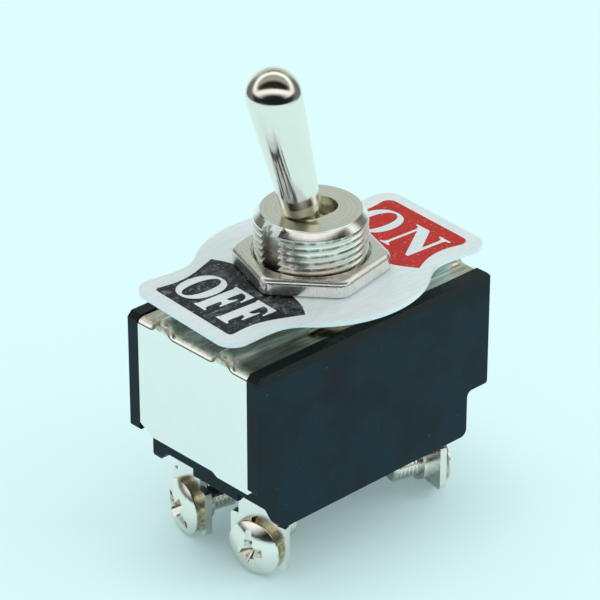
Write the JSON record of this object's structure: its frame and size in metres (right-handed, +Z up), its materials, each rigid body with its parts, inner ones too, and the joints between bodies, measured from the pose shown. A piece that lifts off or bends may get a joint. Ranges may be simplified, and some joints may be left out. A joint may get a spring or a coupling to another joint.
{
  "type": "panel toggle switch",
  "caption": "Two-pole on-off toggle switch with a bat lever, threaded panel bushing, nuts, legend plate and screw terminals.",
  "frame": {"origin": "on the surface that the four screw heads stand on, under the axis of the threaded bushing", "axes": "+Z up along the bushing to the lever, +X along the housing to the ON end, +Y across to the far side"},
  "size_m": [0.0352, 0.0243, 0.0527],
  "materials": {
    "housing_moulding": "dark blue-black moulded resin, fine matte grain",
    "carrier_moulding": "brown moulded resin",
    "nickel_plate": "bright nickel plating",
    "legend_metal": "fine-brushed sheet with a black and a red printed field",
    "terminal_plate": "satin plated sheet",
    "screw_plate": "plated, slightly worn",
    "steel": "bright wire and pin steel",
    "contact_metal": "plain copper alloy strip",
    "contact_silver": "silver contact rivet"
  },
  "bodies": {
    "switch_body": {"housing": "housing_moulding", "metal_cover": "nickel_plate", "bushing": "nickel_plate", "pivot_pin": "steel", "back_nut": "nickel_plate", "legend_plate": "legend_metal", "mounting_nut": "nickel_plate", "fixed_contact_near": "contact_silver", "fixed_terminal_near": "terminal_plate", "common_terminal_near": "terminal_plate", "fixed_contact_far": "contact_silver", "fixed_terminal_far": "terminal_plate", "common_terminal_far": "terminal_plate", "terminal_screw_near_off": "screw_plate", "lock_washer_near_off": "screw_plate", "terminal_screw_far_off": "screw_plate", "lock_washer_far_off": "screw_plate", "terminal_screw_near_on": "screw_plate", "lock_washer_near_on": "screw_plate", "terminal_screw_far_on": "screw_plate", "lock_washer_far_on": "screw_plate"},
    "lever_body": {"lever": "nickel_plate", "carrier": "carrier_moulding", "plunger_spring_near": "steel", "plunger_spring_far": "steel"},
    "plunger_body_near": {"plunger_near": "carrier_moulding"},
    "rocker_body_near": {"rocker_near": "contact_metal", "rocker_contact_near": "contact_silver"},
    "plunger_body_far": {"plunger_far": "carrier_moulding"},
    "rocker_body_far": {"rocker_far": "contact_metal", "rocker_contact_far": "contact_silver"}
  },
  "joints": [
    {"name": "lever_swing", "type": "hinge", "parent": "switch_body", "child": "lever_body", "pos_m": [0, 0, 0.03135], "axis": [0, 1, 0], "range_deg": [0, 31]},
    {"name": "plunger_slide_near", "type": "slide", "parent": "lever_body", "child": "plunger_body_near", "axis": [-0.2672, 0, 0.9636], "range_m": [0, 0.0008], "stiffness_N_per_m": 200, "springref_m": -0.001, "deforming": ["plunger_spring_near"]},
    {"name": "rocker_tip_near", "type": "hinge", "parent": "switch_body", "child": "rocker_body_near", "pos_m": [0, -0.0046, 0.0149], "axis": [0, 1, 0], "range_deg": [-16, 0]},
    {"name": "plunger_slide_far", "type": "slide", "parent": "lever_body", "child": "plunger_body_far", "axis": [-0.2672, 0, 0.9636], "range_m": [0, 0.0008], "stiffness_N_per_m": 200, "springref_m": -0.001, "deforming": ["plunger_spring_far"]},
    {"name": "rocker_tip_far", "type": "hinge", "parent": "switch_body", "child": "rocker_body_far", "pos_m": [0, 0.0046, 0.0149], "axis": [0, 1, 0], "range_deg": [-16, 0]}
  ],
  "couplings": [
    {"joint": "rocker_tip_near", "follows": "lever_swing", "ratio": -0.51613},
    {"joint": "rocker_tip_far", "follows": "lever_swing", "ratio": -0.51613}
  ]
}
